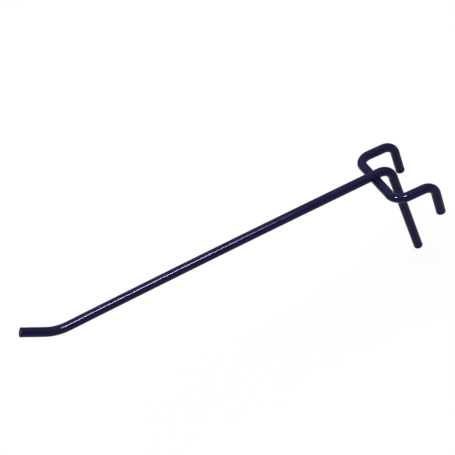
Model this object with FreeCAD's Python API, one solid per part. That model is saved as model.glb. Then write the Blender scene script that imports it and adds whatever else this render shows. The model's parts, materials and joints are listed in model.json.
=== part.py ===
import FreeCAD, Part
import math
import os

# Display hook of welded round wire, coated dark.
# A long arm wire carries the goods. It is turned up at its free end and down at its heel,
# where its leg rests against the front of the board.
# A cross wire of the same stock is welded under the arm. Its two ends run back through
# the board and turn down behind it.
#
# Frame, in millimetres: the board's front face is the plane Y = 0, with +Z up and the arm
# reaching out towards -Y. X = 0 is the plane of symmetry. The origin is midway between
# the prongs, on their centre lines where these pass the board's front face.

# Wire stock
WIRE_DIAMETER = 5.8
CUT_EDGE_ROUNDING = 0.8      # tumbled edge at the ends of the leg and the prongs
TIP_EDGE_BREAK = 0.35        # small chamfer round the cut end of the arm

# Arm wire, lengths from bend corner to bend corner or end
ARM_LENGTH = 219.6
ARM_RISE = 5.3               # degrees above level, so that goods stay on
TIP_LENGTH = 21.7
TIP_RISE = 33.2              # degrees above the arm's own line
TIP_BEND_RADIUS = 24.5
HEEL_BEND_RADIUS = 8.1
LEG_LENGTH = 70.1

# Cross wire
PRONG_PITCH = 50.8           # two hole pitches of 25.4
PRONG_DROP = 7.5             # degrees below level, on the way back through the board
PRONG_LENGTH = 22.6          # turned down part, from its bend corner to its end
PRONG_LEAN = 2.5             # degrees off plumb, towards the board
FRONT_BEND_RADIUS = 8.1
REAR_BEND_RADIUS = 7.4

# Board that the hook hangs on
BOARD_THICKNESS = 6.4
BEHIND_BOARD_PLAY = 1.85     # from the board's back to the prong, at the prong's bend corner

# Cross weld
WELD_LAND = 2.7              # straight arm between the heel bend and the middle of the cross wire
WELD_SET_DOWN = 1.5          # how far the two wires sink into each other
WELD_COLLAR_RADIUS = 0.9     # of the hollow corner that the squeezed out metal makes round the weld


def vector(x, y, z):
    return FreeCAD.Vector(x, y, z)


def in_side_plane(angle_from_front):
    """Unit vector in the plane of symmetry, turned up from straight out to the front."""
    a = math.radians(angle_from_front)
    return vector(0, -math.cos(a), math.sin(a))


def bend_allowance(radius, turn):
    """Length that a bend takes up on each side of its corner; the turn is in degrees."""
    return radius * math.tan(math.radians(turn) / 2)


def bent_wire(corners, radii):
    """Round wire along straight runs joined by bends, cut off square at both ends.

    It is made as a wire bender makes it: a round section is fed along each run, then swung
    about the centre of each bend.
    """
    runs = [(b - a) for a, b in zip(corners, corners[1:])]
    headings = [vector(run.x, run.y, run.z).normalize() for run in runs]
    section = Part.Face(Part.Wire(Part.makeCircle(WIRE_DIAMETER / 2, corners[0], headings[0])))
    position = corners[0]
    lengths = []
    for i, heading in enumerate(headings):
        last = i == len(headings) - 1
        turn = 0 if last else math.degrees(heading.getAngle(headings[i + 1]))
        trim = 0 if last else bend_allowance(radii[i], turn)
        feed = (corners[i + 1] - position).dot(heading) - trim
        lengths.append(section.extrude(heading * feed))
        section.translate(heading * feed)
        if last:
            break
        axis = heading.cross(headings[i + 1]).normalize()
        centre = position + heading * feed + axis.cross(heading) * radii[i]
        lengths.append(section.revolve(centre, axis, turn))
        section.rotate(centre, axis, turn)
        position = corners[i + 1] + headings[i + 1] * trim
    return lengths[0].fuse(lengths[1:]).removeSplitter()


def cut_rim(wire, end_point):
    """The sharp edge that the cut leaves round the end of a wire."""
    return [edge for edge in wire.Edges if is_circle_about(edge, end_point)]


def is_circle_about(edge, point):
    if not isinstance(edge.Curve, Part.Circle):
        return False
    return edge.Curve.Center.isEqual(point, 1e-6)


def rod(point, direction, half_length):
    """Straight length of the wire through a point, reaching as far either way."""
    start = point - direction * half_length
    return Part.makeCylinder(WIRE_DIAMETER / 2, 2 * half_length, start, direction)


# Directions
ACROSS = vector(1, 0, 0)
ARM_OUT = in_side_plane(ARM_RISE)
TIP_OUT = in_side_plane(ARM_RISE + TIP_RISE)
LEG_DOWN = vector(0, 0, -1)
UNDER_ARM = ACROSS.cross(ARM_OUT)
PRONG_BACK = in_side_plane(180 + PRONG_DROP)
PRONG_DOWN = in_side_plane(-90 + PRONG_LEAN)

# The leg's back lies against the board, and the cross wire is welded just clear of the heel bend
heel_allowance = bend_allowance(HEEL_BEND_RADIUS, math.degrees((-ARM_OUT).getAngle(LEG_DOWN)))
weld_from_heel = heel_allowance + WELD_LAND
wire_spacing = WIRE_DIAMETER - WELD_SET_DOWN
cross_from_heel = ARM_OUT * weld_from_heel + UNDER_ARM * wire_spacing
cross_y = cross_from_heel.y - WIRE_DIAMETER / 2
cross_middle = vector(0, cross_y, -cross_y * math.tan(math.radians(PRONG_DROP)))
heel_corner = cross_middle - cross_from_heel
weld_point = heel_corner + ARM_OUT * weld_from_heel

# Arm wire, from the tip of the arm to the foot of the leg
tip_corner = heel_corner + ARM_OUT * ARM_LENGTH
tip_end = tip_corner + TIP_OUT * TIP_LENGTH
leg_end = heel_corner + LEG_DOWN * LEG_LENGTH
arm_wire = bent_wire([tip_end, tip_corner, heel_corner, leg_end], [TIP_BEND_RADIUS, HEEL_BEND_RADIUS])
arm_wire = arm_wire.makeChamfer(TIP_EDGE_BREAK, cut_rim(arm_wire, tip_end))
arm_wire = arm_wire.makeFillet(CUT_EDGE_ROUNDING, cut_rim(arm_wire, leg_end))

# Cross wire, from the end of one prong to the end of the other
rear_y = BOARD_THICKNESS + BEHIND_BOARD_PLAY + WIRE_DIAMETER / 2
run_back = PRONG_BACK * ((rear_y - cross_y) / PRONG_BACK.y)


def prong_corners(side):
    """Front bend corner, rear bend corner and end of the prong on one side."""
    front = cross_middle + ACROSS * (side * PRONG_PITCH / 2)
    rear = front + run_back
    return [front, rear, rear + PRONG_DOWN * PRONG_LENGTH]


prongs = prong_corners(-1)[::-1] + prong_corners(1)
cross_wire = bent_wire(prongs, [REAR_BEND_RADIUS, FRONT_BEND_RADIUS, FRONT_BEND_RADIUS, REAR_BEND_RADIUS])
prong_rims = cut_rim(cross_wire, prongs[0]) + cut_rim(cross_wire, prongs[-1])
cross_wire = cross_wire.makeFillet(CUT_EDGE_ROUNDING, prong_rims)

# Cross weld: the cross wire takes the arm's saddle shape where the two have sunk together.
# The metal squeezed out stays on it as a collar, which fills the corner round that seat to
# the hollow that a ball leaves as it rolls round between the two wires. The collar is rounded
# on short straight lengths of them, and then gives way to the arm's heel bend close by.
near_arm = rod(weld_point, ARM_OUT, WIRE_DIAMETER)
near_cross = rod(cross_middle, ACROSS, WIRE_DIAMETER)
crossed = near_arm.fuse(near_cross)
seam = [edge for edge in crossed.Edges if not isinstance(edge.Curve, (Part.Circle, Part.Line))]
weld_collar = crossed.makeFillet(WELD_COLLAR_RADIUS, seam).cut(near_arm).cut(near_cross)
cross_wire = cross_wire.cut(arm_wire).fuse(weld_collar.cut(arm_wire)).removeSplitter()

os.makedirs("parts", exist_ok=True)
for name, shape in {"arm_wire": arm_wire, "cross_wire": cross_wire}.items():
    shape.exportStep("parts/" + name + ".step")
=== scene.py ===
import json
import math

import bpy
import numpy as np
from mathutils import Matrix, Vector


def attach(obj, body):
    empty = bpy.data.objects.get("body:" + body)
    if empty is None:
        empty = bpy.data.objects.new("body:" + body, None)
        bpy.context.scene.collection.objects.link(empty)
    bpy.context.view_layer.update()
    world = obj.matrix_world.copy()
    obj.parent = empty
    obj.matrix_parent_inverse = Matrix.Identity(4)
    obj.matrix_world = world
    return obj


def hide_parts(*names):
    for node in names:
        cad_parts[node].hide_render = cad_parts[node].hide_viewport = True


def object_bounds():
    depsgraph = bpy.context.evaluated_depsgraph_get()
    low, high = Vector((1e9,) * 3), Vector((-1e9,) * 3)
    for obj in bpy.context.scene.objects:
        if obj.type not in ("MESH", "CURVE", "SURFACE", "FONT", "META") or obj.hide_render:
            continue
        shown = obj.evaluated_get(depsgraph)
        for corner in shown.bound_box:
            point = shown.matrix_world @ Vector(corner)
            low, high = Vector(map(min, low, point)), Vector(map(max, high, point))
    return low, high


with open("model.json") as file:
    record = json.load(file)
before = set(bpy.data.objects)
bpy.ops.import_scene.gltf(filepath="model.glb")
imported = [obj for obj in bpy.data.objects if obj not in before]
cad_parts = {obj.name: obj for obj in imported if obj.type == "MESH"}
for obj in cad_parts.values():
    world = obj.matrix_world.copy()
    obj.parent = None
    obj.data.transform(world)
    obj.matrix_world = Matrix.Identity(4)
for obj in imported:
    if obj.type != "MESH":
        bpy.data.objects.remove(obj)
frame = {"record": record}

cad_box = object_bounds()

# Wire stock, in metres. The round mounts give the coated wire's radius.
WIRE_RADIUS = next(m["dims"]["r_mm"] for m in frame["record"]["mounts"] if m["kind"] == "pin") / 1000
CUT_EDGE_ROUNDING = 0.0008
TIP_EDGE_ROUNDING = 0.00045
TIP_CUT_LEAN = 0.09          # slope of the tip's cut, which is sheared back at its upper side

# Arm wire
ARM_LENGTH = 0.2196
ARM_RISE = math.radians(5.3)
ARM_BOW = 0.00058            # how far the middle of the arm stands above a straight line
TIP_LENGTH = 0.0217
TIP_RISE = math.radians(33.2)
TIP_BEND_RADIUS = 0.0245
HEEL_BEND_RADIUS = 0.0081
LEG_LENGTH = 0.0701

# Cross wire
PRONG_PITCH = 0.0508
PRONG_DROP = math.radians(7.5)
PRONG_LENGTH = 0.0226
PRONG_LEAN = math.radians(2.5)
FRONT_BEND_RADIUS = 0.0081
REAR_BEND_RADIUS = 0.0074
BOARD_THICKNESS = 0.0064
BEHIND_BOARD_PLAY = 0.00185

# Cross weld
WELD_LAND = 0.0027
WELD_SET_DOWN = 0.0015
WELD_COLLAR_RADIUS = 0.0009

# Coating
END_NECK = 0.00003           # how much the film thins just behind a cut edge
NECK_PLACE = 0.0028          # from the cut edge to where it is thinnest
NECK_REACH = 0.0011
FILM_WAVE = 0.000005         # height of the slow waviness
FILM_WAVE_TURN = 330.0       # radians of it for each metre of wire
FILM_WAVE_LEAN = 1.7         # radians that it runs ahead on one side of the wire
FILM_WAVE_START = 0.6
END_DOME = 0.05              # height of a cut face's dome, of the edge rounding
BEND_OVALITY = 0.015         # how much a bend flattens the round wire

# Meshing
STATION_STEP = 0.0006
SIDES = 72
EDGE_RINGS = 9
FACE_RINGS = 12
FACE_OUTER_RING, FACE_INNER_RING = 0.93, 0.06     # of the flat face's radius
FACE_FROM, FACE_SPAN = 0.6, 0.5                   # start and width of the cut face's mask, of the rounding
BODY_CLEAR_OF_END = 1.5                           # of the rounding
WELD_ROUNDS = 144
WELD_STEPS = 12
WELD_DIP = 0.06              # how far the corner's skin dips into each wire, of its arc
HALVINGS = 50
HALVING_TOP = 0.999          # of the reach from the wires' centre lines to the ball's centre


def heading(angle):
    """Unit vector in the plane of symmetry, turned up by an angle from straight out to the front."""
    return np.array([0.0, -math.cos(angle), math.sin(angle)])


ACROSS = np.array([1.0, 0.0, 0.0])
ARM_OUT = heading(ARM_RISE)
TIP_OUT = heading(ARM_RISE + TIP_RISE)
LEG_DOWN = np.array([0.0, 0.0, -1.0])
UNDER_ARM = np.cross(ACROSS, ARM_OUT)
PRONG_BACK = heading(math.pi + PRONG_DROP)
PRONG_DOWN = heading(-math.pi / 2 + PRONG_LEAN)

heel_allowance = HEEL_BEND_RADIUS * math.tan((math.pi / 2 - ARM_RISE) / 2)
weld_from_heel = heel_allowance + WELD_LAND
wire_spacing = 2 * WIRE_RADIUS - WELD_SET_DOWN
cross_from_heel = ARM_OUT * weld_from_heel + UNDER_ARM * wire_spacing
cross_y = cross_from_heel[1] - WIRE_RADIUS
cross_middle = np.array([0.0, cross_y, -cross_y * math.tan(PRONG_DROP)])
heel_corner = cross_middle - cross_from_heel
weld_point = heel_corner + ARM_OUT * weld_from_heel
tip_corner = heel_corner + ARM_OUT * ARM_LENGTH
tip_end = tip_corner + TIP_OUT * TIP_LENGTH
leg_end = heel_corner + LEG_DOWN * LEG_LENGTH
rear_y = BOARD_THICKNESS + BEHIND_BOARD_PLAY + WIRE_RADIUS
run_back = PRONG_BACK * ((rear_y - cross_y) / PRONG_BACK[1])


def prong_corners(side):
    """Front bend corner, rear bend corner and end of the prong on one side."""
    front = cross_middle + ACROSS * (side * PRONG_PITCH / 2)
    rear = front + run_back
    return [front, rear, rear + PRONG_DOWN * PRONG_LENGTH]


def turned(vectors, axis, angles):
    """Vectors turned about a unit axis, one angle for each row.

    The formula is v cos + (axis x v) sin + axis (axis . v)(1 - cos).
    """
    c = np.cos(angles)[:, None]
    s = np.sin(angles)[:, None]
    along = (vectors @ axis)[:, None] * axis
    return vectors * c + np.cross(axis, vectors) * s + along * (1 - c)


def bent_centre_line(corners, radii):
    """Centre line of a bent wire: straight runs joined by arcs that touch both runs.

    Gives, for each station, its point, the heading, a side vector that turns with the wire and
    never twists round it, and the inward vector of its bend, which is zero along a straight run
    and swells by the sine over the bend. Stations are half a step apart in a bend.
    """
    headings = [b - a for a, b in zip(corners, corners[1:])]
    headings = [h / np.linalg.norm(h) for h in headings]
    start = np.asarray(corners[0], float)
    across = np.cross(headings[0], headings[1])
    side = across / np.linalg.norm(across)
    points, tangents, sides, inward = [], [], [], []
    for i, h in enumerate(headings):
        last = i == len(headings) - 1
        turn = 0.0 if last else math.acos(float(h @ headings[i + 1]))
        trim = 0.0 if last else radii[i] * math.tan(turn / 2)
        feed = float((corners[i + 1] - start) @ h) - trim
        t = np.linspace(0.0, feed, max(2, round(feed / STATION_STEP)), endpoint=last)[:, None]
        points.append(start + h * t)
        tangents.append(np.broadcast_to(h, (len(t), 3)))
        sides.append(np.broadcast_to(side, (len(t), 3)))
        inward.append(np.zeros((len(t), 3)))
        if last:
            break
        axis = np.cross(h, headings[i + 1])
        axis = axis / np.linalg.norm(axis)
        begin = start + h * feed
        centre = begin + np.cross(axis, h) * radii[i]
        stations = max(8, round(radii[i] * turn / STATION_STEP * 2))
        angles = np.linspace(0.0, turn, stations, endpoint=False)
        ones = np.ones((len(angles), 1))
        arm = turned(ones * (begin - centre), axis, angles)
        points.append(centre + arm)
        tangents.append(turned(ones * h, axis, angles))
        sides.append(turned(ones * side, axis, angles))
        ease = np.sin(np.pi * np.clip(angles / turn, 0, 1))[:, None]
        inward.append(-arm / radii[i] * ease)
        side = turned(side[None, :], axis, np.array([turn]))[0]
        start = corners[i + 1] + headings[i + 1] * trim
    return tuple(np.concatenate(a) for a in (points, tangents, sides, inward))


def mesh_piece(name, vertices, faces, attributes):
    """A smooth shaded mesh object at the origin, with named numbers on its vertices."""
    mesh = bpy.data.meshes.new(name)
    mesh.from_pydata(vertices.tolist(), [], faces)
    for key, values in attributes.items():
        attribute = mesh.attributes.new(key, "FLOAT", "POINT")
        attribute.data.foreach_set("value", np.ascontiguousarray(values, np.float32).ravel())
    mesh.polygons.foreach_set("use_smooth", np.ones(len(mesh.polygons), bool))
    mesh.update()
    piece = bpy.data.objects.new(name, mesh)
    bpy.context.scene.collection.objects.link(piece)
    return piece


def grid_faces(rings, sides):
    """Quads between neighbouring rings of a closed tube, and a fan to a pole vertex at each end."""
    ring = np.arange(rings - 1)[:, None] * sides
    around = np.arange(sides)[None, :]
    after = (around + 1) % sides
    quads = np.stack([ring + around, ring + sides + around, ring + sides + after, ring + after], -1)
    first_pole = rings * sides
    last_pole = first_pole + 1
    tail = (rings - 1) * sides
    first = [(first_pole, int(a), int(b)) for a, b in zip(around[0], after[0])]
    last = [(last_pole, int(tail + b), int(tail + a)) for a, b in zip(around[0], after[0])]
    return quads.reshape(-1, 4).tolist() + first + last


def bowed(points):
    """The arm's gentle upward set.

    The rise is the bow times the sine of pi times the share of the way from weld to tip corner.
    """
    share = (points - weld_point) @ ARM_OUT / (ARM_LENGTH - weld_from_heel)
    rise = np.where((share > 0) & (share < 1), ARM_BOW * np.sin(np.pi * share), 0.0)
    return points - rise[:, None] * UNDER_ARM


def coated_wire(name, corners, radii, roundings, set_of_line=None, lean=np.zeros(3)):
    """Coated round wire: a circle carried along the bent centre line, closed by two rounded cut ends.

    The radius is the wire's own, less a slow waviness of a few micrometres and a neck in the film,
    a bell curve just behind each cut end. In a bend the circle becomes an ellipse, a little narrower
    towards the centre of the bend. A cut end adds rings on a quarter circle, and then on a face
    domed by the square of the distance from its middle. The first end can lean: each point of it is
    cut back by the slope, times how far it lies along the lean's direction from the opposite side.
    """
    points, tangents, side, inward = bent_centre_line(corners, radii)
    if set_of_line:
        points = set_of_line(points)
    run = np.concatenate([[0.0], np.cumsum(np.linalg.norm(np.diff(points, axis=0), axis=1))])
    total = run[-1]
    slope = np.linalg.norm(lean)
    body_from = roundings[0] * BODY_CLEAR_OF_END + 2 * WIRE_RADIUS * slope
    body_to = total - roundings[1] * BODY_CLEAR_OF_END
    keep = (run > body_from) & (run < body_to)
    body = [a[keep] for a in (points, tangents, side, inward)]
    body_run = run[keep]

    def end_rings(end, rounding, sign):
        """Rings over one cut end, from the body outwards: place, radius, and the masks of face and rim."""
        a = np.linspace(0.0, np.pi / 2, EDGE_RINGS)
        dome_height = rounding * END_DOME
        edge_axial = rounding * np.sin(a) - rounding - dome_height
        edge_radius = WIRE_RADIUS - rounding + rounding * np.cos(a)
        flat_radius = WIRE_RADIUS - rounding
        face_radius = flat_radius * np.linspace(FACE_OUTER_RING, FACE_INNER_RING, FACE_RINGS)
        dome = -dome_height * (face_radius / flat_radius) ** 2
        axial = np.concatenate([edge_axial, dome])
        radius = np.concatenate([edge_radius, face_radius])
        place = points[end] + tangents[end] * sign * axial[:, None]
        face = np.clip((WIRE_RADIUS - rounding * FACE_FROM - radius) / (rounding * FACE_SPAN), 0, 1)
        rim = np.concatenate([np.sin(a * 2) ** 0.5, np.zeros(FACE_RINGS)])
        return place, radius, face, rim

    head = end_rings(0, roundings[0], -1)
    tail = end_rings(-1, roundings[1], 1)
    n_head, n_body, n_tail = len(head[0]), len(body_run), len(tail[0])
    centre = np.concatenate([head[0][::-1], body[0], tail[0]])
    radius = np.concatenate([head[1][::-1], np.full(n_body, WIRE_RADIUS), tail[1]])
    face = np.concatenate([head[2][::-1], np.zeros(n_body), tail[2]])
    rim = np.concatenate([head[3][::-1], np.zeros(n_body), tail[3]])

    def spread(values, first, last):
        """Values of the body, with its first and last ones repeated over the two ends."""
        return np.concatenate([np.repeat(values[:1], first, 0), values, np.repeat(values[-1:], last, 0)])

    along = spread(body[1], n_head, n_tail)
    u = spread(body[2], n_head, n_tail)
    v = np.cross(along, u)
    bend = spread(body[3], n_head, n_tail)
    distance = spread(body_run, n_head, n_tail)
    edge_distance = np.minimum(distance, total - distance)
    radius = radius - END_NECK * np.exp(-((edge_distance - NECK_PLACE) / NECK_REACH) ** 2)

    theta = np.linspace(0.0, 2 * np.pi, SIDES, endpoint=False)
    outward = u[:, None, :] * np.cos(theta)[None, :, None] + v[:, None, :] * np.sin(theta)[None, :, None]
    towards_centre = np.einsum("rsk,rk->rs", outward, bend)
    oval = 1 - BEND_OVALITY * towards_centre ** 2
    phase = distance[:, None] * FILM_WAVE_TURN + FILM_WAVE_LEAN * np.sin(theta)[None, :] + FILM_WAVE_START
    wave = FILM_WAVE * (np.sin(phase) - 1)
    skin = radius[:, None] * oval + wave * (1 - face[:, None])
    surface = centre[:, None, :] + outward * skin[:, :, None]
    cut_back = slope * WIRE_RADIUS + outward[:n_head] @ lean * skin[:n_head]
    surface[:n_head] += along[:n_head, None, :] * cut_back[:, :, None]

    poles = np.stack([points[0] + tangents[0] * slope * WIRE_RADIUS, points[-1]])
    vertices = np.concatenate([surface.reshape(-1, 3), poles])
    rings = len(centre)

    def per_vertex(values, at_poles):
        """One number for each ring, given to all its vertices, and then the two poles'."""
        return np.concatenate([np.repeat(values, SIDES), [at_poles, at_poles]])

    masks = {"cut_face": per_vertex(face, 1.0), "cut_rim": per_vertex(rim, 0.0)}
    return mesh_piece(name, vertices, grid_faces(rings, SIDES), masks)


def weld_fillet(name):
    """Coated weld corner: the surface that a small ball leaves as it rolls round between the two wires.

    The ball's centre stays its radius off both wires, so at each angle round the weld its distance q
    from the weld's axis solves sqrt(s^2 - (q cos)^2) + sqrt(s^2 - (q sin)^2) = spacing, where s is
    the wire's radius plus the ball's. The profile is the ball's arc between its two touching points.
    """
    reach = WIRE_RADIUS + WELD_COLLAR_RADIUS
    angle = np.linspace(0.0, 2 * np.pi, WELD_ROUNDS, endpoint=False)
    low = np.zeros(WELD_ROUNDS)
    high = np.full(WELD_ROUNDS, reach * HALVING_TOP)
    for _ in range(HALVINGS):
        q = (low + high) / 2
        x = q * np.cos(angle)
        y = q * np.sin(angle)
        gap = np.sqrt(np.maximum(reach ** 2 - x ** 2, 0)) + np.sqrt(np.maximum(reach ** 2 - y ** 2, 0))
        wide = gap > wire_spacing
        low = np.where(wide, q, low)
        high = np.where(wide, high, q)
    z = -np.sqrt(np.maximum(reach ** 2 - x ** 2, 0))
    ball = np.stack([x, y, z], 1)
    zero = np.zeros(WELD_ROUNDS)
    to_arm = -np.stack([x, zero, z], 1) / reach
    to_cross = -np.stack([zero, y, z + wire_spacing], 1) / reach
    # a little past each touching point, so that the skin dips into both wires and leaves no slit
    turn = np.arccos(np.clip(np.einsum("ij,ij->i", to_arm, to_cross), -1, 1))
    axis = np.cross(to_arm, to_cross)
    axis = axis / np.linalg.norm(axis, axis=1)[:, None]
    share = np.linspace(-WELD_DIP, 1 + WELD_DIP, WELD_STEPS)[None, :]
    a = (turn[:, None] * share)[:, :, None]
    arc = to_arm[:, None, :] * np.cos(a) + np.cross(axis, to_arm)[:, None, :] * np.sin(a)
    local = ball[:, None, :] + arc * WELD_COLLAR_RADIUS
    skin = weld_point + local[..., :1] * ACROSS + local[..., 1:2] * ARM_OUT - local[..., 2:] * UNDER_ARM
    around = np.arange(WELD_ROUNDS)[:, None] * WELD_STEPS
    after = (np.arange(WELD_ROUNDS)[:, None] + 1) % WELD_ROUNDS * WELD_STEPS
    step = np.arange(WELD_STEPS - 1)[None, :]
    quads = np.stack([around + step, around + step + 1, after + step + 1, after + step], -1).reshape(-1, 4)
    vertices = skin.reshape(-1, 3)
    # faces point away from the weld's middle
    middle = weld_point + UNDER_ARM * wire_spacing / 2
    a, b, c = (vertices[quads[:, k]] for k in range(3))
    outwards = np.einsum("ij,ij->i", np.cross(b - a, c - a), a - middle).sum() > 0
    faces = quads if outwards else quads[:, ::-1]
    uncut = np.zeros(len(vertices))
    return mesh_piece(name, vertices, faces.tolist(), {"cut_face": uncut, "cut_rim": uncut})


arm = coated_wire(
    "arm_wire_coated",
    [tip_end, tip_corner, heel_corner, leg_end],
    [TIP_BEND_RADIUS, HEEL_BEND_RADIUS],
    [TIP_EDGE_ROUNDING, CUT_EDGE_ROUNDING],
    bowed,
    TIP_CUT_LEAN * np.cross(TIP_OUT, ACROSS),
)
cross = coated_wire(
    "cross_wire_coated",
    prong_corners(-1)[::-1] + prong_corners(1),
    [REAR_BEND_RADIUS, FRONT_BEND_RADIUS, FRONT_BEND_RADIUS, REAR_BEND_RADIUS],
    [CUT_EDGE_ROUNDING, CUT_EDGE_ROUNDING],
)
weld = weld_fillet("weld_corner_coated")

for piece, node in ((arm, "arm_wire"), (cross, "cross_wire"), (weld, "cross_wire")):
    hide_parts(node)
    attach(piece, "root")


# Materials. Scales of the noises are in lumps for each metre. Spans are the values of a noise over
# which what it drives goes from none to full.
NAVY = (0.0094, 0.0094, 0.0480, 1)
NAVY_LIGHT = (0.0114, 0.0116, 0.0530, 1)
THIN_FILM = (0.012, 0.011, 0.024, 1)
# colour of the cut rims: the film's thin edge, darkened further as painted shade
RIM_FILM_PAINTED_SHADE = (0.006, 0.006, 0.016, 1)
GRAIN_SCALE = 5200.0
GRAIN_SHARE = 0.12           # height of the fine grain, of the lumps'
LUMP_SPAN = (0.3, 0.7)
DRIFT_SCALE = 95.0
DRIFT_SPAN = (0.35, 0.68)
SPECK_SCALE = 1500.0
SPECK_SPAN = (0.72, 0.80)
RAGGED_SCALE = 900.0
RAGGED_SPAN = (0.3, 0.65)
RAGGED_LEAST = 0.35
GLOSS_BELOW, GLOSS_ABOVE = 0.02, 0.03    # spread of the roughness about its own value
SPECK_ROUGHNESS = 0.12
FACE_ROUGHNESS = 0.3
RIM_ROUGHNESS = 0.25
SPECULAR_LEVEL = 0.16
CORNER_SPECULAR_LEVEL = 0.03
CUT_SHINE = 0.3              # specular level on cut faces and rims, of the coating's own


def new_group(name, inputs, outputs):
    """Shader node group with named float, vector or colour sockets."""
    kinds = {"float": "NodeSocketFloat", "vector": "NodeSocketVector", "colour": "NodeSocketColor"}
    group = bpy.data.node_groups.new(name, "ShaderNodeTree")
    for label, kind in inputs:
        group.interface.new_socket(label, in_out="INPUT", socket_type=kinds[kind])
    for label, kind in outputs:
        group.interface.new_socket(label, in_out="OUTPUT", socket_type=kinds[kind])
    return group, group.nodes.new("NodeGroupInput"), group.nodes.new("NodeGroupOutput")


def math_node(tree, operation, a, b):
    """Math node on two values or sockets, giving its result socket."""
    node = tree.nodes.new("ShaderNodeMath")
    node.operation = operation
    for socket, value in zip(node.inputs, (a, b)):
        if isinstance(value, (int, float)):
            socket.default_value = value
        else:
            tree.links.new(value, socket)
    return node.outputs[0]


def noise_node(tree, coordinates, scale, detail):
    """Noise of one scale on the given coordinates."""
    node = tree.nodes.new("ShaderNodeTexNoise")
    tree.links.new(coordinates, node.inputs["Vector"])
    node.inputs["Scale"].default_value = scale
    node.inputs["Detail"].default_value = detail
    return node.outputs["Fac"]


def spread_node(tree, value, low, high, to_low=0.0, to_high=1.0):
    """Map Range from low..high to to_low..to_high, clamped and eased."""
    node = tree.nodes.new("ShaderNodeMapRange")
    node.interpolation_type = "SMOOTHSTEP"
    tree.links.new(value, node.inputs["Value"])
    for key, number in (("From Min", low), ("From Max", high), ("To Min", to_low), ("To Max", to_high)):
        node.inputs[key].default_value = number
    return node.outputs["Result"]


def mix_colour(tree, factor, a, b):
    """Colour between two, which are values or sockets."""
    node = tree.nodes.new("ShaderNodeMix")
    node.data_type = "RGBA"
    tree.links.new(factor, node.inputs["Factor"])
    for key, value in (("A", a), ("B", b)):
        socket = next(s for s in node.inputs if s.name == key and s.type == "RGBA")
        if isinstance(value, tuple):
            socket.default_value = value
        else:
            tree.links.new(value, socket)
    return next(s for s in node.outputs if s.type == "RGBA")


def orange_peel_group():
    """Height of a flowed coating: soft lumps one or two millimetres across, and a much finer grain."""
    group, given, result = new_group(
        "Orange peel",
        [("Coordinates", "vector"), ("Lump scale", "float"), ("Grain share", "float")],
        [("Height", "float"), ("Lumps", "float")],
    )
    coordinates = given.outputs["Coordinates"]
    lumps = group.nodes.new("ShaderNodeTexNoise")
    group.links.new(coordinates, lumps.inputs["Vector"])
    group.links.new(given.outputs["Lump scale"], lumps.inputs["Scale"])
    lumps.inputs["Detail"].default_value = 1.5
    grain = noise_node(group, coordinates, GRAIN_SCALE, 1.0)
    fine = math_node(group, "MULTIPLY", grain, given.outputs["Grain share"])
    group.links.new(math_node(group, "ADD", lumps.outputs["Fac"], fine), result.inputs["Height"])
    group.links.new(lumps.outputs["Fac"], result.inputs["Lumps"])
    return group


def film_shade_group():
    """Slow drift of the film's colour, and sparse specks of dust caught in it."""
    group, given, result = new_group(
        "Film shade",
        [("Coordinates", "vector"), ("Deep", "colour"), ("Pale", "colour")],
        [("Colour", "colour"), ("Specks", "float")],
    )
    coordinates = given.outputs["Coordinates"]
    drift = spread_node(group, noise_node(group, coordinates, DRIFT_SCALE, 3.0), *DRIFT_SPAN)
    shade = mix_colour(group, drift, given.outputs["Deep"], given.outputs["Pale"])
    specks = spread_node(group, noise_node(group, coordinates, SPECK_SCALE, 1.0), *SPECK_SPAN)
    group.links.new(shade, result.inputs["Colour"])
    group.links.new(specks, result.inputs["Specks"])
    return group


def thin_edge_shade_group():
    """Where the film thins at a cut edge and the rim is darkened as painted shade: a broken mask from the
    rim's own number.
    """
    group, given, result = new_group(
        "Thin edge and painted shade", [("Coordinates", "vector"), ("Rim", "float")], [("Mask", "float")],
    )
    noise = noise_node(group, given.outputs["Coordinates"], RAGGED_SCALE, 3.0)
    ragged = spread_node(group, noise, *RAGGED_SPAN, RAGGED_LEAST, 1.0)
    group.links.new(math_node(group, "MULTIPLY", given.outputs["Rim"], ragged), result.inputs["Mask"])
    return group


def place_group(tree, group, **values):
    """A group's node in a material, with its inputs set or linked by name."""
    node = tree.nodes.new("ShaderNodeGroup")
    node.node_tree = group
    for key, value in values.items():
        socket = node.inputs[key.replace("_", " ")]
        if isinstance(value, (int, float, tuple)):
            socket.default_value = value
        else:
            tree.links.new(value, socket)
    return node


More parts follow.
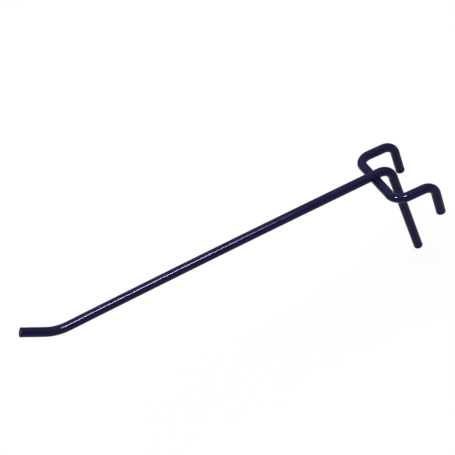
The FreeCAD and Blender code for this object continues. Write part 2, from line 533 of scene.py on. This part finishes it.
def navy_coating(name, peel_scale, peel_height, roughness, specular_level):
    """Smooth navy coating over steel wire, thinner, browner and duller on the cut faces and their rims,
    with the rims also darkened as painted shade.
    """
    material = bpy.data.materials.new(name)
    material.use_nodes = True
    tree = material.node_tree
    shader = tree.nodes["Principled BSDF"]
    coordinates = tree.nodes.new("ShaderNodeTexCoord").outputs["Object"]
    attribute = {}
    for key in ("cut_face", "cut_rim"):
        node = tree.nodes.new("ShaderNodeAttribute")
        node.attribute_name = key
        attribute[key] = node.outputs["Fac"]
    peel = place_group(
        tree, groups["peel"], Coordinates=coordinates, Lump_scale=peel_scale, Grain_share=GRAIN_SHARE)
    film = place_group(tree, groups["film"], Coordinates=coordinates, Deep=NAVY, Pale=NAVY_LIGHT)
    edge = place_group(tree, groups["edge"], Coordinates=coordinates, Rim=attribute["cut_rim"])
    # painted shade: the cut rims are darkened, over the film's thin edge
    rim_shaded = mix_colour(tree, edge.outputs["Mask"], film.outputs["Colour"], RIM_FILM_PAINTED_SHADE)
    faced = mix_colour(tree, attribute["cut_face"], rim_shaded, THIN_FILM)
    tree.links.new(faced, shader.inputs["Base Color"])
    lumps = peel.outputs["Lumps"]
    rough = spread_node(tree, lumps, *LUMP_SPAN, roughness - GLOSS_BELOW, roughness + GLOSS_ABOVE)
    for mask, added in (
        (film.outputs["Specks"], SPECK_ROUGHNESS),
        (attribute["cut_face"], FACE_ROUGHNESS),
        (attribute["cut_rim"], RIM_ROUGHNESS),
    ):
        rough = math_node(tree, "ADD", rough, math_node(tree, "MULTIPLY", mask, added))
    tree.links.new(rough, shader.inputs["Roughness"])
    bump = tree.nodes.new("ShaderNodeBump")
    bump.inputs["Strength"].default_value = 1.0
    bump.inputs["Distance"].default_value = peel_height
    tree.links.new(peel.outputs["Height"], bump.inputs["Height"])
    tree.links.new(bump.outputs["Normal"], shader.inputs["Normal"])
    cut = math_node(tree, "MAXIMUM", attribute["cut_face"], attribute["cut_rim"])
    shine = spread_node(tree, cut, 0.0, 1.0, specular_level, specular_level * CUT_SHINE)
    tree.links.new(shine, shader.inputs["Specular IOR Level"])
    return material


groups = {"peel": orange_peel_group(), "film": film_shade_group(), "edge": thin_edge_shade_group()}
wire_coating = navy_coating(
    "Navy coating on wire",
    peel_scale=620.0, peel_height=0.000003, roughness=0.07, specular_level=SPECULAR_LEVEL)
corner_coating = navy_coating(
    "Navy coating in weld corner",
    peel_scale=900.0, peel_height=0.000006, roughness=0.32, specular_level=CORNER_SPECULAR_LEVEL)
arm.data.materials.append(wire_coating)
cross.data.materials.append(wire_coating)
weld.data.materials.append(corner_coating)


# Camera, from the photograph's viewing angle
CAMERA_PLACE = Vector((0.43380, -0.12456, 0.38022))
CAMERA_AZIMUTH = math.radians(87.5017)
CAMERA_ELEVATION = math.radians(39.0202)
CAMERA_ROLL = math.radians(28.7128)
CAMERA_FIELD_PIXELS = 960.63      # focal length in pixels of the 455 pixel frame
FRAME_PIXELS = 455


def studio_camera():
    """Camera at its place, turned to the azimuth and elevation and then rolled about its own axis."""
    data = bpy.data.cameras.new("camera")
    camera = bpy.data.objects.new("camera", data)
    bpy.context.scene.collection.objects.link(camera)
    data.lens = data.sensor_width * CAMERA_FIELD_PIXELS / FRAME_PIXELS
    data.clip_start = 0.01
    data.clip_end = 50.0
    back = Vector((
        math.sin(CAMERA_AZIMUTH) * math.cos(CAMERA_ELEVATION),
        -math.cos(CAMERA_AZIMUTH) * math.cos(CAMERA_ELEVATION),
        math.sin(CAMERA_ELEVATION),
    ))
    turn = back.to_track_quat("Z", "Y").to_matrix() @ Matrix.Rotation(-CAMERA_ROLL, 3, "Z")
    camera.matrix_world = Matrix.Translation(CAMERA_PLACE) @ turn.to_4x4()
    bpy.context.scene.camera = camera


studio_camera()

# Floor, just under the foot of the leg
FLOOR_SIZE = 8.0
FLOOR_CLEARANCE = 0.0005
FLOOR_ROUGHNESS = 0.9
FLOOR_COLOUR = (0.8, 0.8, 0.8, 1)          # as it lights the hook from below
SEEN_COLOUR = (0.15, 0.15, 0.15, 1)        # as the camera sees it, with enough glow added for white
MIRRORED_COLOUR = (0.35, 0.35, 0.35, 1)    # as reflections see it
SEEN_GLOW = 0.852
MIRRORED_GLOW = 0.2
floor_level = cad_box[0][2] - FLOOR_CLEARANCE


def mirrored_rays(tree, path):
    """One on the rays by which a reflection or a clear material sees something, else none."""
    return math_node(tree, "MAXIMUM", path.outputs["Is Glossy Ray"], path.outputs["Is Transmission Ray"])


def background_material(name):
    """Pale matt surface. The camera sees it as white, with the shadow, and reflections see it dimmer."""
    material = bpy.data.materials.new(name)
    material.use_nodes = True
    tree = material.node_tree
    output = tree.nodes["Material Output"]
    shader = tree.nodes["Principled BSDF"]
    shader.inputs["Roughness"].default_value = FLOOR_ROUGHNESS
    shader.inputs["Specular IOR Level"].default_value = 0.0
    path = tree.nodes.new("ShaderNodeLightPath")
    colour = mix_colour(tree, path.outputs["Is Glossy Ray"], FLOOR_COLOUR, MIRRORED_COLOUR)
    colour = mix_colour(tree, path.outputs["Is Camera Ray"], colour, SEEN_COLOUR)
    tree.links.new(colour, shader.inputs["Base Color"])
    mirrored = math_node(tree, "MULTIPLY", mirrored_rays(tree, path), MIRRORED_GLOW)
    seen = math_node(tree, "MULTIPLY", path.outputs["Is Camera Ray"], SEEN_GLOW)
    emission = tree.nodes.new("ShaderNodeEmission")
    tree.links.new(math_node(tree, "ADD", seen, mirrored), emission.inputs["Strength"])
    both = tree.nodes.new("ShaderNodeAddShader")
    tree.links.new(shader.outputs[0], both.inputs[0])
    tree.links.new(emission.outputs[0], both.inputs[1])
    tree.links.new(both.outputs[0], output.inputs["Surface"])
    return material


bpy.ops.mesh.primitive_plane_add(size=FLOOR_SIZE, location=(0, 0, floor_level))
floor = bpy.context.object
floor.name = "floor"
floor.data.materials.append(background_material("Pale floor"))

# World: an even dim light, seen by the camera as white. Reflections show a studio with a pale roof
# and dim walls, open to a dark room behind the camera.
WORLD_LEVEL = 0.55
ROOF_LEVEL = 0.55
WALL_LEVEL = 0.2
WALL_TOP = math.sin(math.radians(10))
ROOF_EDGE = math.sin(math.radians(75))
ROOM_DIRECTION = (math.cos(math.radians(18)), 0.0, math.sin(math.radians(18)))
ROOM_EDGE = math.cos(math.radians(50))
ROOM_HEART = math.cos(math.radians(22))
ROOM_DIMMING = 0.4


def studio_world():
    """World light. Mirrored rays see walls and roof by height, times the dim patch of the room."""
    world = bpy.data.worlds.new("studio")
    bpy.context.scene.world = world
    world.use_nodes = True
    tree = world.node_tree
    path = tree.nodes.new("ShaderNodeLightPath")
    direction = tree.nodes.new("ShaderNodeTexCoord").outputs["Generated"]
    facing = tree.nodes.new("ShaderNodeVectorMath")
    facing.operation = "DOT_PRODUCT"
    tree.links.new(direction, facing.inputs[0])
    facing.inputs[1].default_value = ROOM_DIRECTION
    room = spread_node(tree, facing.outputs["Value"], ROOM_EDGE, ROOM_HEART, 1.0, 1.0 - ROOM_DIMMING)
    height = tree.nodes.new("ShaderNodeSeparateXYZ")
    tree.links.new(direction, height.inputs[0])
    studio = spread_node(tree, height.outputs["Z"], WALL_TOP, ROOF_EDGE, WALL_LEVEL, ROOF_LEVEL)
    studio = math_node(tree, "MULTIPLY", studio, room)
    change = math_node(tree, "SUBTRACT", studio, WORLD_LEVEL)
    mirrored = math_node(tree, "MULTIPLY", mirrored_rays(tree, path), change)
    seen = math_node(tree, "MULTIPLY", path.outputs["Is Camera Ray"], 1.0 - WORLD_LEVEL)
    level = math_node(tree, "ADD", math_node(tree, "ADD", seen, mirrored), WORLD_LEVEL)
    background = tree.nodes["Background"]
    background.inputs["Color"].default_value = (1, 1, 1, 1)
    tree.links.new(level, background.inputs["Strength"])


studio_world()

# Softbox over the hook
OVERHEAD_PLACE = Vector((-0.3, -0.1, 1.3))
OVERHEAD_AIM = Vector((0.0, -0.1, 0.0))
OVERHEAD_SIZE = 1.2
OVERHEAD_POWER = 12.0


def overhead_softbox():
    """Square lamp over the hook. It lights the surfaces and shows in no reflection."""
    data = bpy.data.lights.new("overhead softbox", "AREA")
    data.shape = "SQUARE"
    data.size = OVERHEAD_SIZE
    data.energy = OVERHEAD_POWER
    light = bpy.data.objects.new("overhead softbox", data)
    bpy.context.scene.collection.objects.link(light)
    light.location = OVERHEAD_PLACE
    light.rotation_mode = "QUATERNION"
    light.rotation_quaternion = (OVERHEAD_AIM - OVERHEAD_PLACE).to_track_quat("-Z", "Y")
    light.visible_glossy = False


overhead_softbox()

# Strip softbox, whose reflection draws the thin line along the arm and the right glint on the near bend
LINE_OFFSET = 0.215          # of the wire's radius, from the middle of the arm's visible side
STRIP_DISTANCE = 20.0
STRIP_WIDTH = 3.0
STRIP_FROM, STRIP_TO = -3.31, 2.6       # along the arm's direction, from the heel corner
STRIP_FADE = 2.40
STRIP_LEVEL = 118.0
STRIP_COLOUR = (0.80, 0.80, 1.0, 1)
STRIP_STATIONS = 25

# Small softbox to the front, whose reflection makes the left glint on the near bend
GLINT_AZIMUTH = math.radians(-74)       # from +X
GLINT_ELEVATION = math.radians(55)
GLINT_DISTANCE = 5.0
GLINT_SIZE = 0.85
GLINT_LEVEL = 145.0
GLINT_COLOUR = (0.85, 0.85, 1.0, 1)


def light_card(name, middles, wide, colour, level, fade):
    """Glowing ribbon that only reflections show: a middle line, moved half its width to either side."""
    count = len(middles)
    vertices = np.concatenate([middles - wide / 2, middles + wide / 2])
    k = np.arange(count - 1)
    faces = np.stack([k, k + 1, k + 1 + count, k + count], 1).tolist()
    card = mesh_piece(name, vertices, faces, {"fade": np.concatenate([fade, fade])})
    material = bpy.data.materials.new(name)
    material.use_nodes = True
    tree = material.node_tree
    tree.nodes.remove(tree.nodes["Principled BSDF"])
    emission = tree.nodes.new("ShaderNodeEmission")
    emission.inputs["Color"].default_value = colour
    node = tree.nodes.new("ShaderNodeAttribute")
    node.attribute_name = "fade"
    tree.links.new(math_node(tree, "MULTIPLY", node.outputs["Fac"], level), emission.inputs["Strength"])
    tree.links.new(emission.outputs[0], tree.nodes["Material Output"].inputs["Surface"])
    card.data.materials.append(material)
    card.visible_camera = False
    card.visible_diffuse = False
    card.visible_shadow = False
    card.visible_transmission = False


def strip_softbox():
    """Long narrow card over the arm, where the arm's middle mirrors it towards the camera."""
    to_camera = np.array(CAMERA_PLACE) - heel_corner
    to_camera = to_camera - ARM_OUT * (to_camera @ ARM_OUT)
    to_camera = to_camera / np.linalg.norm(to_camera)
    upwards = np.cross(to_camera, ARM_OUT)
    upwards = upwards if upwards[2] > 0 else -upwards
    angle = 2 * math.asin(LINE_OFFSET)
    out = to_camera * math.cos(angle) + upwards * math.sin(angle)
    along = np.linspace(STRIP_FROM, STRIP_TO, STRIP_STATIONS)
    middles = heel_corner + out * STRIP_DISTANCE + ARM_OUT * along[:, None]
    wide = np.cross(out, ARM_OUT) * STRIP_WIDTH
    fade = np.clip((along - STRIP_FROM) / STRIP_FADE, 0, 1)
    light_card("strip softbox", middles, wide, STRIP_COLOUR, STRIP_LEVEL, fade)


def glint_softbox():
    """Small card in the direction that the near bend of the cross wire mirrors towards the camera."""
    level_out = np.array([math.cos(GLINT_AZIMUTH), math.sin(GLINT_AZIMUTH), 0.0])
    out = level_out * math.cos(GLINT_ELEVATION) + np.array([0.0, 0.0, 1.0]) * math.sin(GLINT_ELEVATION)
    sideways = np.cross(out, [0.0, 0.0, 1.0])
    sideways = sideways / np.linalg.norm(sideways)
    upwards = np.cross(sideways, out)
    near_bend = prong_corners(1)[0]
    middles = near_bend + out * GLINT_DISTANCE + upwards * GLINT_SIZE * np.array([[-0.5], [0.5]])
    wide = sideways * GLINT_SIZE
    light_card("small softbox", middles, wide, GLINT_COLOUR, GLINT_LEVEL, np.ones(2))


strip_softbox()
glint_softbox()

bpy.context.scene.view_settings.view_transform = "Standard"
